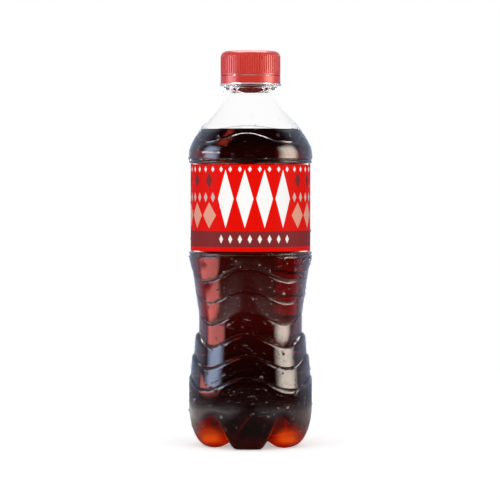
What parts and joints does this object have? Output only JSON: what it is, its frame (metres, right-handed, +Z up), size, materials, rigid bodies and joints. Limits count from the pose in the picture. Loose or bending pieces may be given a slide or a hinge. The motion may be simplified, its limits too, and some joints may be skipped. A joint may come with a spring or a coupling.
{
  "type": "soft drink bottle",
  "caption": "Clear blown plastic bottle of dark soft drink with a wavy ribbed waist, footed base and wrap label, closed by a screw cap that unscrews from a loose tamper band.",
  "frame": {"origin": "on the table under the middle of the bottle", "axes": "+Z up along the bottle's axis, -Y towards the front, +X to the right seen from the front"},
  "size_m": [0.0624, 0.0624, 0.2009],
  "materials": {
    "clear_pet": "clear, glossy, blow moulded",
    "cola": "dark brown liquid, clear red-orange where it is thin",
    "label_film": "printed glossy film",
    "hot_melt_glue": "translucent amber",
    "red_cap_plastic": "injection moulded, satin",
    "liner_plastic": "soft, milky"
  },
  "bodies": {
    "bottle": {"bottle": "clear_pet", "drink": "cola", "label": "label_film", "label_pickup_glue": "hot_melt_glue", "label_lap_glue": "hot_melt_glue"},
    "tamper_band": {"tamper_band": "red_cap_plastic"},
    "liner": {"cap_liner": "liner_plastic"},
    "cap": {"cap_shell": "red_cap_plastic"}
  },
  "joints": [
    {"name": "band_spin", "type": "hinge", "parent": "bottle", "child": "tamper_band", "pos_m": [0, 0, 0.1858], "axis": [0, 0, 1], "continuous": true},
    {"name": "cap_lift", "type": "slide", "parent": "bottle", "child": "liner", "axis": [0, 0, 1], "range_m": [0, 0.0049]},
    {"name": "cap_turn", "type": "hinge", "parent": "liner", "child": "cap", "pos_m": [0, 0, 0.1945], "axis": [0, 0, 1], "range_deg": [0, 650]}
  ],
  "couplings": [
    {"joint": "cap_lift", "follows": "cap_turn", "m_per_rad": 0.00042972}
  ]
}
